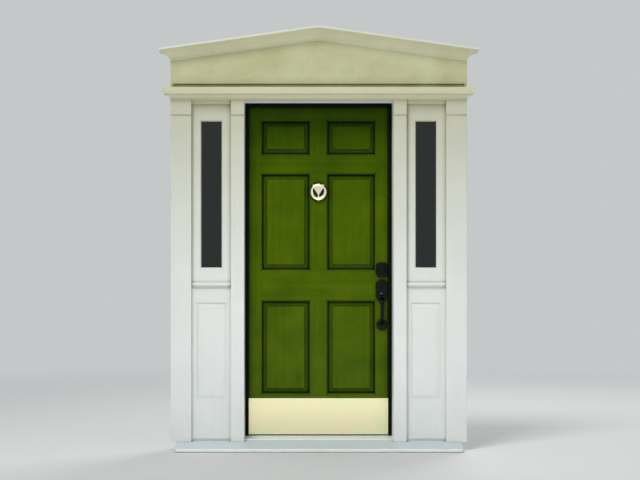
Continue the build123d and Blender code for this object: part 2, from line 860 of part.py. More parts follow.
# The three tiers of panels, each from the rail under it to the rail over it
tiers = {
    "upper": ("frieze_rail", "top_rail"),
    "middle": ("lock_rail", "frieze_rail"),
    "lower": ("bottom_rail", "lock_rail"),
}
for tier, (rail_below, rail_above) in tiers.items():
    opening_bottom = leaf_z + rails[rail_below][0] + rails[rail_below][1] / 2
    opening_top = leaf_z + rails[rail_above][0] - rails[rail_above][1] / 2
    opening_height = opening_top - opening_bottom
    opening_width = sticking_x - mullion_width / 2
    opening_z = (opening_bottom + opening_top) / 2

    with BuildPart() as mullion:
        with BuildSketch(Plane(origin=(0, leaf_y, opening_bottom - groove_depth))):
            add(framing_section(mullion_width, [-1, 1]))
        extrude(amount=opening_height + 2 * groove_depth)
        add(rail_parts[rail_below], mode=Mode.SUBTRACT)
        add(rail_parts[rail_above], mode=Mode.SUBTRACT)
    hand_in(mullion, f"{tier}_mullion")

    tongue = 2 * (groove_depth - panel_clearance)
    with BuildPart() as panel:
        with BuildSketch(Plane.XZ.offset(-leaf_y)):
            with Locations((mullion_width / 2 + opening_width / 2, opening_z)):
                Rectangle(opening_width + tongue, opening_height + tongue)
        extrude(amount=tongue_thickness / 2, both=True)
        face_plane = -leaf_y + tongue_thickness / 2
        with BuildSketch(Plane.XZ.offset(face_plane)):
            with Locations((mullion_width / 2 + opening_width / 2, opening_z)):
                Rectangle(opening_width - 2 * bevel_seat, opening_height - 2 * bevel_seat)
        with BuildSketch(Plane.XZ.offset(face_plane + bevel_rise)):
            with Locations((mullion_width / 2 + opening_width / 2, opening_z)):
                Rectangle(opening_width - 2 * bevel_width, opening_height - 2 * bevel_width)
        loft()
        with BuildSketch(Plane.XZ.offset(face_plane + bevel_rise)):
            with Locations((mullion_width / 2 + opening_width / 2, opening_z)):
                Rectangle(opening_width - 2 * bevel_width, opening_height - 2 * bevel_width)
        extrude(amount=field_rise)
        mirror(about=Plane.XZ.offset(-leaf_y))
    hand_in_pair(panel, f"{tier}_panel")

# Kick plate, flat on the bottom rail between the weatherstrips
kick_x = stop_x - strip_reach - kick_plate_clearance
with BuildPart() as kick_plate:
    with BuildSketch(Plane.XZ.offset(-leaf_front)):
        kick_z = leaf_z + kick_plate_lift
        rectangle_between(-kick_x, kick_z, kick_x, kick_z + kick_plate_height)
    extrude(amount=kick_plate_thickness)
hand_in(kick_plate, "kick_plate")

# Door sweep: a soft strip under the leaf, finned down to the threshold
with BuildPart() as door_sweep:
    with BuildSketch(Plane.YZ):
        sweep_front = leaf_front + sweep_inset
        rectangle_between(sweep_front, leaf_z - sill_gap / 3, sweep_front + sweep_thickness, leaf_z)
        fin_width = (sweep_thickness - 2 * sweep_fin_gap) / 3
        for index in range(3):
            fin_start = sweep_front + index * (fin_width + sweep_fin_gap)
            rectangle_between(fin_start, threshold_z + strip_clearance, fin_start + fin_width, leaf_z)
    extrude(amount=leaf_x - edge_gap, both=True)
hand_in(door_sweep, "door_sweep")

# Bolt cases in the lock stile, each with its faceplate and a tail that the spindle passes through
bolt_back_x = leaf_x - bolt_length
with BuildPart() as lock_cases:
    for bolt_z, throw in bolt_throws.values():
        with BuildSketch(Plane.YZ.offset(leaf_x - faceplate_thickness)):
            with Locations((leaf_y, bolt_z)):
                Rectangle(faceplate_width, faceplate_height)
        extrude(amount=faceplate_thickness)
        with BuildSketch(Plane.YZ.offset(leaf_x - faceplate_thickness)):
            with Locations((leaf_y, bolt_z)):
                Circle(case_radius)
        extrude(amount=-(backset - case_tail_length))
        with BuildSketch(Plane.XZ.offset(-leaf_y)):
            tail_end = lock_x - case_tail_length
            rectangle_between(tail_end, bolt_z - case_tail_height / 2, bolt_back_x, bolt_z + case_tail_height / 2)
        extrude(amount=case_tail_thickness / 2, both=True)
        with BuildSketch(Plane.YZ.offset(leaf_x)):
            with Locations((leaf_y, bolt_z)):
                Rectangle(bolt_thickness + 2 * bolt_play, bolt_height + 2 * bolt_play)
        extrude(amount=-bolt_length - bolt_play, mode=Mode.SUBTRACT)
        with BuildSketch(Plane.XZ.offset(-leaf_y)):
            with Locations((lock_x, bolt_z)):
                Circle(spindle_radius + spindle_play)
        extrude(amount=case_radius, both=True, mode=Mode.SUBTRACT)
hand_in(lock_cases, "lock_cases")

# Bolts, drawn back so that the leaf is free to swing
with BuildPart() as deadbolt_bolt:
    with BuildSketch(Plane.YZ.offset(bolt_back_x)):
        with Locations((leaf_y, deadbolt_z)):
            Rectangle(bolt_thickness, bolt_height)
    extrude(amount=bolt_length)
    chamfer(deadbolt_bolt.faces().sort_by(Axis.X)[-1].edges(), 1)
hand_in(deadbolt_bolt, "deadbolt_bolt")

with BuildPart() as latch_bolt:
    with BuildSketch(Plane.XY.offset(latch_z - bolt_height / 2)):
        with BuildLine():
            bolt_front_y = leaf_y - bolt_thickness / 2
            bolt_rear_y = leaf_y + bolt_thickness / 2
            Polyline(
                (bolt_back_x, bolt_front_y),
                (leaf_x - latch_bevel, bolt_front_y),
                (leaf_x, bolt_rear_y - bolt_thickness / 4),
                (leaf_x, bolt_rear_y),
                (bolt_back_x, bolt_rear_y),
                close=True,
            )
        make_face()
    extrude(amount=bolt_height)
hand_in(latch_bolt, "latch_bolt")

# Deadbolt housing: a rounded plate with a tapered collar round the key cylinder
with BuildPart() as deadbolt_housing:
    with BuildSketch(Plane.XZ.offset(-leaf_front)):
        with Locations((lock_x, deadbolt_z)):
            RectangleRounded(housing_width, housing_height, housing_corner)
    extrude(amount=housing_thickness)
    fillet(deadbolt_housing.faces().sort_by(Axis.Y)[0].edges(), housing_thickness / 3)
    with BuildSketch(Plane.XZ.offset(-leaf_front + housing_thickness)):
        with Locations((lock_x, deadbolt_z)):
            Circle(collar_radius)
    extrude(amount=collar_rise, taper=12)
    fillet(deadbolt_housing.faces().sort_by(Axis.Y)[0].edges(), 2)
    with BuildSketch(Plane.XZ.offset(-leaf_front + housing_thickness + collar_rise)):
        with Locations((lock_x, deadbolt_z)):
            Circle(plug_radius + plug_play)
    extrude(amount=-housing_thickness - collar_rise, mode=Mode.SUBTRACT)
hand_in(deadbolt_housing, "deadbolt_housing")

with BuildPart() as key_plug:
    plug_front = -leaf_front + housing_thickness + collar_rise
    with BuildSketch(Plane.XZ.offset(plug_front)):
        with Locations((lock_x, deadbolt_z)):
            Circle(plug_radius)
    extrude(amount=-plug_length)
    with BuildSketch(Plane.XZ.offset(plug_front)):
        with Locations((lock_x, deadbolt_z)):
            Rectangle(keyway_width, keyway_height)
    extrude(amount=-keyway_depth, mode=Mode.SUBTRACT)
hand_in(key_plug, "key_plug")

# Handleset: a teardrop plate, a bowed grip and a round foot, cast as one
plate_top_z = latch_z + plate_top_rise
thumb_z = latch_z - grip_top_drop + thumb_slot_height
with BuildPart() as handleset:
    with BuildSketch(Plane.XZ.offset(-leaf_front)):
        with BuildLine():
            CenterArc((lock_x, plate_top_z), plate_top_radius, 0, 360)
            CenterArc((lock_x, latch_z - plate_bottom_drop), plate_bottom_radius, 0, 360)
        make_hull()
    extrude(amount=plate_thickness)
    fillet(handleset.faces(Select.LAST).sort_by(Axis.Y)[0].edges(), plate_thickness / 3)
    with BuildSketch(Plane.XZ.offset(-leaf_front)):
        with Locations((lock_x, latch_z - grip_bottom_drop)):
            Circle(foot_radius)
    extrude(amount=foot_thickness)
    fillet(handleset.faces(Select.LAST).sort_by(Axis.Y)[0].edges(), foot_thickness / 2)
    with BuildLine() as grip_path:
        grip_y = leaf_front - grip_stand_off
        grip_foot_y = leaf_front - grip_sink
        FilletPolyline(
            (lock_x, grip_foot_y, latch_z - grip_top_drop),
            (lock_x, grip_y, latch_z - grip_top_drop - grip_lead / 2),
            (lock_x, grip_y, latch_z - grip_bottom_drop + grip_lead),
            (lock_x, grip_foot_y, latch_z - grip_bottom_drop),
            radius=grip_bend,
        )
    with BuildSketch(Plane(origin=grip_path.line @ 0, x_dir=(1, 0, 0), z_dir=grip_path.line % 0)):
        RectangleRounded(grip_width, grip_depth, grip_depth / 3)
    sweep(path=grip_path.line)
    split(bisect_by=Plane.XZ.offset(-leaf_front), keep=Keep.TOP)
    with BuildSketch(Plane.XZ.offset(-leaf_front)):
        with Locations((lock_x, thumb_z)):
            Rectangle(thumb_slot_width, thumb_slot_height)
    extrude(amount=plate_thickness, mode=Mode.SUBTRACT)
    with BuildSketch(Plane.YZ.offset(lock_x)):
        with Locations((leaf_front - plate_thickness / 2, thumb_z)):
            Circle(thumb_pin_radius + thumb_play)
    extrude(amount=thumb_pin_length / 2 + thumb_play, both=True, mode=Mode.SUBTRACT)
hand_in(handleset, "handleset")

# Thumbpiece, on a pin across the plate's slot, and pressed down as when the latch is drawn back
pivot = (lock_x, leaf_front - plate_thickness / 2, thumb_z)
with BuildPart() as thumbpiece:
    with BuildSketch(Plane(origin=pivot).rotated((thumb_droop, 0, 0))):
        rectangle_between(-thumb_width / 2, -thumb_reach + thumb_pad_length / 2, thumb_width / 2, 0)
        with Locations((0, -thumb_reach + thumb_pad_length / 2)):
            RectangleRounded(thumb_pad_width, thumb_pad_length, thumb_pad_length / 3)
    extrude(amount=thumb_thickness / 2, both=True)
    for barrel_radius, barrel_length in ((thumb_thickness, thumb_width), (thumb_pin_radius, thumb_pin_length)):
        with BuildSketch(Plane(origin=pivot, x_dir=(0, 1, 0), z_dir=(1, 0, 0))):
            Circle(barrel_radius)
        extrude(amount=barrel_length / 2, both=True)
hand_in(thumbpiece, "thumbpiece")

# Roses behind the thumbturn and the knob
shank_radius = {"deadbolt": turn_radius, "latch": knob_neck_radius}
with BuildPart() as interior_roses:
    for lock_name, (bolt_z, throw) in bolt_throws.items():
        with BuildSketch(Plane.XZ.offset(-frame_back)):
            with Locations((lock_x, bolt_z)):
                Circle(rose_radius)
        extrude(amount=-rose_thickness, taper=15)
        with BuildSketch(Plane.XZ.offset(-frame_back)):
            with Locations((lock_x, bolt_z)):
                Circle(shank_radius[lock_name] + spindle_play)
        extrude(amount=-rose_thickness, mode=Mode.SUBTRACT)
hand_in(interior_roses, "interior_roses")

# Thumbturn: an oval paddle on a round base, with the spindle that works the deadbolt
spindle_start = leaf_front + plug_length - housing_thickness - collar_rise
with BuildPart() as thumbturn:
    with BuildSketch(Plane.XZ.offset(-frame_back)):
        with Locations((lock_x, deadbolt_z)):
            Circle(turn_radius)
    extrude(amount=-rose_thickness - 2)
    with BuildSketch(Plane.XZ.offset(-frame_back - rose_thickness - 2)):
        with Locations((lock_x, deadbolt_z)):
            SlotOverall(turn_width, turn_thickness, rotation=90)
    extrude(amount=-turn_length)
    with BuildSketch(Plane.XZ.offset(-spindle_start)):
        with Locations((lock_x, deadbolt_z)):
            Circle(spindle_radius)
    extrude(amount=-(frame_back - spindle_start))
hand_in(thumbturn, "thumbturn")

# Knob: turned in one piece with its neck, on the latch spindle
with BuildPart() as knob:
    neck_end = rose_thickness + knob_length * 0.25
    knob_end = rose_thickness + knob_length
    with BuildSketch(Plane(origin=(lock_x, frame_back, latch_z), x_dir=(1, 0, 0), z_dir=(0, 0, 1))):
        with BuildLine():
            Polyline((0, knob_end), (0, -leaf_thickness / 2 - case_tail_thickness))
            Polyline(
                (0, -leaf_thickness / 2 - case_tail_thickness),
                (spindle_radius, -leaf_thickness / 2 - case_tail_thickness),
                (spindle_radius, 0),
                (knob_neck_radius, 0),
                (knob_neck_radius, neck_end),
            )
            Spline(
                (knob_neck_radius, neck_end),
                (knob_radius, rose_thickness + knob_length * 0.62),
                (knob_radius * 0.6, knob_end - 2),
                (0, knob_end),
                tangents=((1, 0.5), (-1, 0)),
            )
        make_face()
    revolve(axis=Axis((lock_x, frame_back, latch_z), (0, 1, 0)))
hand_in(knob, "knob")

# Knocker plate: a shield with a tail down to a striking boss, and a lug that the ring hangs in
ring_y = leaf_front - knocker_plate_thickness - ring_gap - ring_wire_radius
ring_top_z = knocker_z + ring_radius
lug_radius = ring_wire_radius + knocker_lug_play + knocker_lug_wall
with BuildPart() as knocker_plate:
    with BuildSketch(Plane.XZ.offset(-leaf_front)) as shield:
        with BuildLine():
            Polyline(
                (-knocker_plate_width / 2, knocker_z + knocker_plate_rise),
                (-knocker_plate_width / 2, knocker_z + knocker_shoulder_rise),
                (0, knocker_z - knocker_point_drop),
                (knocker_plate_width / 2, knocker_z + knocker_shoulder_rise),
                (knocker_plate_width / 2, knocker_z + knocker_plate_rise),
                close=True,
            )
        make_face()
        fillet(shield.vertices().group_by(Axis.Z)[-1], knocker_corner)
        rectangle_between(
            -knocker_tail_width / 2, knocker_z - ring_radius, knocker_tail_width / 2, knocker_z
        )
        with Locations((0, knocker_z - ring_radius)):
            Circle(knocker_tip_radius)
        with Locations((0, ring_top_z)):
            Circle(lug_radius)
    extrude(amount=knocker_plate_thickness)
    with BuildSketch(Plane.YZ):
        with Locations((ring_y, ring_top_z)):
            Circle(lug_radius)
        rectangle_between(ring_y, ring_top_z - lug_radius, leaf_front, ring_top_z + lug_radius)
        with Locations((ring_y, ring_top_z)):
            Circle(ring_wire_radius + knocker_lug_play, mode=Mode.SUBTRACT)
    extrude(amount=knocker_lug_width / 2, both=True)
    with BuildSketch(Plane.YZ):
        with Locations((ring_y, ring_top_z)):
            Circle(ring_wire_radius + knocker_lug_play)
    extrude(amount=lug_radius, both=True, mode=Mode.SUBTRACT)
hand_in(knocker_plate, "knocker_plate")

with BuildPart() as knocker_ring:
    with BuildSketch(Plane.XY.offset(knocker_z)):
        with Locations((ring_radius, ring_y)):
            Circle(ring_wire_radius)
    revolve(axis=Axis((0, ring_y, knocker_z), (0, 1, 0)))
hand_in(knocker_ring, "knocker_ring")
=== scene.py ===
import bmesh
import bpy
from math import radians
from mathutils import Matrix, Vector


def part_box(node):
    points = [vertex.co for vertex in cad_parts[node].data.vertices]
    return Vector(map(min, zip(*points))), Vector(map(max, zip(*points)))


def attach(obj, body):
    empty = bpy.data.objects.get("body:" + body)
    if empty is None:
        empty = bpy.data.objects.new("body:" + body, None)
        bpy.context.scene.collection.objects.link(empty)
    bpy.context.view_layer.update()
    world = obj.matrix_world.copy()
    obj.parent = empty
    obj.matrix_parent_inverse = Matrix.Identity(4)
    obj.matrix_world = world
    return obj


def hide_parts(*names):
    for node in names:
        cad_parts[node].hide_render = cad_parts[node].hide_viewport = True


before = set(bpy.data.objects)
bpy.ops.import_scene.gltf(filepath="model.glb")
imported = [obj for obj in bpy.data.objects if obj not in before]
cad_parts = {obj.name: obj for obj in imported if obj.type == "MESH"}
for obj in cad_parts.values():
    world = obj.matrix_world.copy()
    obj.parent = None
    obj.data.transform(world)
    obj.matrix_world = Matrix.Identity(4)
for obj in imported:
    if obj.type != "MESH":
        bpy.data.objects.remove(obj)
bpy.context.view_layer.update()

# The place it is shown in: a pale floor that fades into an even backdrop, an even sky, a wide soft lamp high
# on the left, weak ones low on the right and on the ground before it, and one indoors for the back.
scene = bpy.context.scene
scene.view_settings.view_transform = "Standard"

bpy.ops.object.camera_add(location=(-0.1, -7.76, 0.94), rotation=(radians(90), 0, 0))
camera = bpy.context.object
camera.data.lens = 71.8
camera.data.shift_x = 0.028
camera.data.shift_y = 0.084
scene.camera = camera


def soft_lamp(name, place, turn, width, power):
    """A square lamp with no hard edge to its shadow."""
    bpy.ops.object.light_add(type="AREA", location=place, rotation=turn)
    lamp = bpy.context.object
    lamp.name = name
    lamp.data.size = width
    lamp.data.energy = power
    lamp.visible_camera = False
    lamp.visible_transmission = False


soft_lamp("lamp_high", (-2.6, -5.0, 8.6), (radians(37), 0, radians(-27)), 3.0, 526)
soft_lamp("lamp_low", (4.4, -5.6, 2.0), (radians(82), 0, radians(38)), 3.0, 36)
soft_lamp("lamp_ground", (0.0, -2.4, 0.33), (radians(165), 0, 0), 2.4, 36)
soft_lamp("lamp_behind", (2.6, 5.0, 6.0), (radians(48), 0, radians(152)), 3.5, 260)


def put(tree, kind, inputs, **settings):
    """Add a shader node. Each of its inputs is a value or the output of another node."""
    made = tree.nodes.new(kind)
    for key, value in settings.items():
        setattr(made, key, value)
    for key, value in inputs.items():
        if isinstance(value, bpy.types.NodeSocket):
            tree.links.new(value, made.inputs[key])
        else:
            made.inputs[key].default_value = value
    return made


def seen_directly(tree):
    """1 for a ray from the camera, a reflection or a view through glass, 0 for a ray that only lights."""
    ray = put(tree, "ShaderNodeLightPath", {})
    mirrored = put(tree, "ShaderNodeMath", {0: ray.outputs["Is Camera Ray"], 1: ray.outputs["Is Glossy Ray"]},
                   operation="MAXIMUM")
    through = put(tree, "ShaderNodeMath", {0: mirrored.outputs[0], 1: ray.outputs["Is Transmission Ray"]},
                  operation="MAXIMUM")
    return through.outputs[0]


backdrop_grey = (0.56, 0.575, 0.585, 1)
sky = bpy.data.worlds.new("sky")
sky.use_nodes = True
scene.world = sky
tree = sky.node_tree
tree.nodes["Background"].inputs["Color"].default_value = (0.90, 0.95, 1.0, 1)
tree.nodes["Background"].inputs["Strength"].default_value = 0.30
backdrop = put(tree, "ShaderNodeBackground", {"Color": backdrop_grey, "Strength": 1.0})
either = put(tree, "ShaderNodeMixShader", {0: seen_directly(tree), 1: tree.nodes["Background"].outputs[0],
                                           2: backdrop.outputs[0]})
tree.links.new(either.outputs[0], tree.nodes["World Output"].inputs["Surface"])


def new_material(name):
    """A material of that name, its node tree and its shader."""
    made = bpy.data.materials.new(name)
    made.use_nodes = True
    return made, made.node_tree, made.node_tree.nodes["Principled BSDF"]


bpy.ops.mesh.primitive_plane_add(size=80, location=(0, 0, 0))
floor = bpy.context.object
floor.name = "floor"
floor_finish, tree, shader = new_material("floor_finish")
shader.inputs["Base Color"].default_value = (0.68, 0.68, 0.67, 1)
shader.inputs["Roughness"].default_value = 0.9
coordinates = put(tree, "ShaderNodeTexCoord", {})
distance = put(tree, "ShaderNodeVectorMath", {0: coordinates.outputs["Object"]}, operation="LENGTH")
fade = put(tree, "ShaderNodeMapRange", {"Value": distance.outputs["Value"], "From Min": 2.2, "From Max": 9.0},
           interpolation_type="SMOOTHSTEP")
share = put(tree, "ShaderNodeMath", {0: fade.outputs[0], 1: seen_directly(tree)}, operation="MULTIPLY")
glow = put(tree, "ShaderNodeEmission", {"Color": backdrop_grey, "Strength": 1.0})
either = put(tree, "ShaderNodeMixShader", {0: share.outputs[0], 1: shader.outputs[0], 2: glow.outputs[0]})
tree.links.new(either.outputs[0], tree.nodes["Material Output"].inputs["Surface"])
floor.data.materials.append(floor_finish)


# Sill board: one long softwood board with a rounded nose, painted white. Feet have worn the paint thin
# along the nose. Its slope is painted blue-grey and blotched, partly for rain and partly as painted shade,
# and painted shade lies in the corners where the posts stand on it.
across = (0.035, 1.0, 1.0)


def blend(tree, share, first, second):
    """The first colour where share is 0, the second where it is 1. Each is a value or a node's output."""
    return put(tree, "ShaderNodeMix", {0: share, 6: first, 7: second}, data_type="RGBA").outputs[2]


def painted_wood(name, colour, shade, grain, roughness, brush, corner_shade, reach=0.025, clear_from=0.9,
                 gloss=0.35, streaks=0.02, edge=None, ledge_dirt_and_shade=None, height_shade=None, height_shade_z=(0, 1)):
    """Wood painted with a brush, in soft patches of two colours.

    grain: how far the marks of the brush are drawn out along each axis.
    brush: how deep the marks are.
    corner_shade, reach, clear_from: painted shade in corners and recesses, as the tint they are multiplied by
    (above 1 it paints light into them instead), how far out of them it reaches, and how open a spot
    has to be to stay clear of it.
    streaks: by how much the coat is lighter and darker along the marks.
    edge: the colour of arrises where the paint is worn.
    ledge_dirt_and_shade: the colour of upper faces, for weathering and painted shade together.
    height_shade, height_shade_z: painted shade, a darker tint that grows with height, and the heights
    between which it does.
    """
    corner_shade_fade = 0.45
    height_shade_curve = 1.6
    made, tree, shader = new_material(name)
    place = put(tree, "ShaderNodeTexCoord", {}).outputs["Object"]
    drawn = put(tree, "ShaderNodeMapping", {"Vector": place, "Scale": grain}).outputs[0]
    marks = put(tree, "ShaderNodeTexNoise", {"Vector": drawn, "Scale": 330.0, "Detail": 4.0}).outputs[0]
    waves = put(tree, "ShaderNodeTexNoise", {"Vector": drawn, "Scale": 45.0, "Detail": 2.0}).outputs[0]
    blotch = put(tree, "ShaderNodeTexNoise", {"Vector": place, "Scale": 5.0, "Detail": 6.0,
                                              "Roughness": 0.62}).outputs[0]
    tone = put(tree, "ShaderNodeMapRange", {"Value": blotch, "From Min": 0.33, "From Max": 0.68}).outputs[0]
    mixed = blend(tree, tone, (*colour, 1), (*shade, 1))
    streak = put(tree, "ShaderNodeMapRange", {"Value": waves, "From Min": 0.3, "From Max": 0.7,
                                              "To Min": 1.0 - streaks, "To Max": 1.0 + streaks})
    final = put(tree, "ShaderNodeVectorMath", {0: mixed, "Scale": streak.outputs[0]},
                operation="SCALE").outputs[0]
    # Painted shade: a darker tint that grows with height, towards the head.
    if height_shade:
        height = put(tree, "ShaderNodeSeparateXYZ", {0: place}).outputs["Z"]
        level = put(tree, "ShaderNodeMapRange", {"Value": height, "From Min": height_shade_z[0],
                                                 "From Max": height_shade_z[1]}).outputs[0]
        share = put(tree, "ShaderNodeMath", {0: level, 1: height_shade_curve}, operation="POWER").outputs[0]
        tinted = put(tree, "ShaderNodeVectorMath", {0: final, 1: height_shade}, operation="MULTIPLY").outputs[0]
        final = blend(tree, share, final, tinted)
    # Upper faces take a colour of their own, for weathering and painted shade together.
    if ledge_dirt_and_shade:
        facing = put(tree, "ShaderNodeNewGeometry", {}).outputs["Normal"]
        up = put(tree, "ShaderNodeSeparateXYZ", {0: facing}).outputs["Z"]
        lying = put(tree, "ShaderNodeMapRange", {"Value": up, "From Min": 0.4, "From Max": 0.9}).outputs[0]
        final = blend(tree, lying, final, (*ledge_dirt_and_shade, 1))
    # Painted shade: corners and recesses, found by occlusion, are multiplied by the corner tint.
    corner = put(tree, "ShaderNodeAmbientOcclusion", {"Distance": reach}, samples=6).outputs["AO"]
    open_air = put(tree, "ShaderNodeMapRange", {"Value": corner, "From Min": clear_from - corner_shade_fade,
                                                "From Max": clear_from}).outputs[0]
    corner_shaded = put(tree, "ShaderNodeVectorMath", {0: final, 1: corner_shade}, operation="MULTIPLY").outputs[0]
    final = blend(tree, open_air, corner_shaded, final)
    rounded = put(tree, "ShaderNodeBevel", {"Radius": 0.0015}, samples=4).outputs[0]
    if edge:
        flat = put(tree, "ShaderNodeNewGeometry", {}).outputs["Normal"]
        same = put(tree, "ShaderNodeVectorMath", {0: rounded, 1: flat},
                   operation="DOT_PRODUCT").outputs["Value"]
        worn = put(tree, "ShaderNodeMath", {0: same, 1: marks}, operation="SUBTRACT").outputs[0]
        bare = put(tree, "ShaderNodeMapRange", {"Value": worn, "From Min": 0.42, "From Max": 0.36}).outputs[0]
        final = blend(tree, bare, final, (*edge, 1))
    tree.links.new(final, shader.inputs["Base Color"])
    sheen = put(tree, "ShaderNodeMapRange", {"Value": marks, "To Min": roughness - 0.08,
                                             "To Max": roughness + 0.1})
    tree.links.new(sheen.outputs[0], shader.inputs["Roughness"])
    depth = put(tree, "ShaderNodeMath", {0: waves, 1: 0.5, 2: marks}, operation="MULTIPLY_ADD").outputs[0]
    bump = put(tree, "ShaderNodeBump", {"Height": depth, "Strength": brush, "Distance": 0.0004,
                                        "Normal": rounded})
    tree.links.new(bump.outputs[0], shader.inputs["Normal"])
    shader.inputs["Specular IOR Level"].default_value = gloss
    return made


def finish(material, *names):
    """Give pieces this material in place of the one that they came with."""
    for name in names:
        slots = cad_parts[name].data.materials
        slots.clear()
        slots.append(material)


sill_paint = painted_wood("sill_paint", (0.91, 0.94, 0.94), (0.87, 0.905, 0.91), across, 0.5, 0.25,
                          corner_shade=(0.34, 0.36, 0.35), reach=0.03, clear_from=0.8, edge=(0.62, 0.62, 0.58),
                          ledge_dirt_and_shade=(0.56, 0.635, 0.65))
finish(sill_paint, "sill_board")

# Threshold: an extruded aluminium sill with ribs, screwed down between the jambs under the shut leaf. Its
# mill finish has gone dull and pale, and the die has left fine lines along it.
threshold_finish, tree, shader = new_material("threshold_finish")
place = put(tree, "ShaderNodeTexCoord", {}).outputs["Object"]
drawn = put(tree, "ShaderNodeMapping", {"Vector": place, "Scale": (0.02, 1.0, 1.0)}).outputs[0]
lines = put(tree, "ShaderNodeTexNoise", {"Vector": drawn, "Scale": 900.0, "Detail": 3.0}).outputs[0]
dull = put(tree, "ShaderNodeMapRange", {"Value": lines, "To Min": 0.38, "To Max": 0.6})
bump = put(tree, "ShaderNodeBump", {"Height": lines, "Strength": 0.2, "Distance": 0.0003})
shader.inputs["Base Color"].default_value = (0.80, 0.85, 0.86, 1)
shader.inputs["Metallic"].default_value = 0.5
tree.links.new(dull.outputs[0], shader.inputs["Roughness"])
tree.links.new(bump.outputs[0], shader.inputs["Normal"])
finish(threshold_finish, "threshold")

# Frame: jambs, head, mull posts and stops of pine, sawn and planed, nailed together and painted white.
# Painted shade darkens and warms it towards the head and darkens its corners. The doorway's linings have no
# such shade towards the head, and are painted a brighter white as painted light under the cornice.
upright = (1.0, 1.0, 0.035)
trim_white = (0.73, 0.755, 0.735)
trim_shade = (0.69, 0.72, 0.705)
trim_coat = {"roughness": 0.45, "brush": 0.08, "height_shade": (0.665, 0.645, 0.485), "height_shade_z": (0.4, 2.1)}
trim_upright = painted_wood("trim_paint_upright", trim_white, trim_shade, upright,
                            corner_shade=(0.66, 0.64, 0.50), streaks=0.012, **trim_coat)
# The linings are painted a brighter white than the rest of the frame, as painted light on the soffit that the
# cornice shades.
stop_white_lit = painted_wood("stop_paint_lit", (0.94, 0.94, 0.91), (0.91, 0.91, 0.88), upright, 0.4, 0.08,
                          corner_shade=(0.95, 0.95, 0.92), streaks=0.01)
finish(trim_upright, "mull_post_left", "mull_post_right", "outer_jamb_left", "outer_jamb_right")
finish(stop_white_lit, "hinge_jamb", "lock_jamb", "door_stops", "head_jamb")

# Pilasters: flat boards with a capital and a neck band, planted on the frame's face. The outer pair laps
# past the outer jambs.
finish(trim_upright, "inner_pilaster_left", "inner_pilaster_right", "outer_pilaster_left",
       "outer_pilaster_right")

# Sidelights: a fixed sash each side, with its glass in an ovolo rebate, a sill under it and a panelled base
# below. All of it is painted as the frame is, and the sash sills carry a heavy painted shade in their joints.
base_white = painted_wood("base_panel_paint", trim_white, trim_shade, upright,
                          corner_shade=(0.92, 0.92, 0.88), streaks=0.01, **trim_coat)
finish(base_white, "base_panel_left", "base_panel_right")
finish(trim_upright, "sidelight_sash_left", "sidelight_sash_right")
# The sash sills' paint carries a heavy painted shade along their joints and under them.
trim_across = painted_wood("trim_paint_across", trim_white, trim_shade, across,
                           corner_shade=(0.36, 0.37, 0.35), reach=0.03, streaks=0.012, **trim_coat)
finish(trim_across, "sash_sill_left", "sash_sill_right")

# Panes: one sheet of glass in each sash, bedded in its rebate and tinted nearly black, as painted shade for
# an unlit room behind it. Rolling has left the sheets very slightly wavy.
shade_tinted_glass, tree, shader = new_material("shade_tinted_glass")
shader.inputs["Base Color"].default_value = (0.012, 0.016, 0.014, 1)
shader.inputs["Roughness"].default_value = 0.02
shader.inputs["Transmission Weight"].default_value = 1.0
shader.inputs["Specular IOR Level"].default_value = 0.3
shader.inputs["IOR"].default_value = 1.5
place = put(tree, "ShaderNodeTexCoord", {}).outputs["Object"]
wave = put(tree, "ShaderNodeTexNoise", {"Vector": place, "Scale": 6.0, "Detail": 1.0}).outputs[0]
bump = put(tree, "ShaderNodeBump", {"Height": wave, "Strength": 0.08, "Distance": 0.004})
tree.links.new(bump.outputs[0], shader.inputs["Normal"])
finish(shade_tinted_glass, "sidelight_panes")

# Crown: a cornice, a boarded tympanum and a raking moulding each side, mitred at the apex and round the
# eaves. It is painted a warmer and darker cream than the frame, and the weather has mottled it. The
# tympanum is painted paler in its corners under the mouldings, as painted light against their shadow.
crown_cream = painted_wood("crown_paint", (0.50, 0.51, 0.31), (0.42, 0.41, 0.22), (0.5, 1.0, 1.0), 0.5, 0.1,
                           corner_shade=(1.12, 1.11, 1.05))
finish(crown_cream, "tympanum")
# The raking mouldings are painted a paler cream than the tympanum, as painted light on their coves, which
# face down.
rake_cream_lit = painted_wood("rake_paint_lit", (0.605, 0.60, 0.40), (0.55, 0.54, 0.345), across, 0.5, 0.1,
                          corner_shade=(0.95, 0.95, 0.9))
finish(rake_cream_lit, "rake_moulding_left", "rake_moulding_right")
cornice_cream = painted_wood("cornice_paint", (0.575, 0.575, 0.39), (0.535, 0.535, 0.36), across, 0.45, 0.1,
                             corner_shade=(0.85, 0.83, 0.68))
finish(cornice_cream, "cornice")

# Drip strips: thin white-coated aluminium, bent over the top edge of each raking moulding, with its foot
# kicked out so that rain drops clear of the paint. The two meet in a mitre at the apex.
strip_reach = 0.950
strip_fall = 0.1416
strip_face = 0.0105
strip_front = -0.1732
strip_top = 2.5362
strip_gauge = 0.0008
foot_kick = (0, -0.0018, -0.0014)
lip_rise = (0, 0.0008, 0.0006)
strip_arris = 0.0003

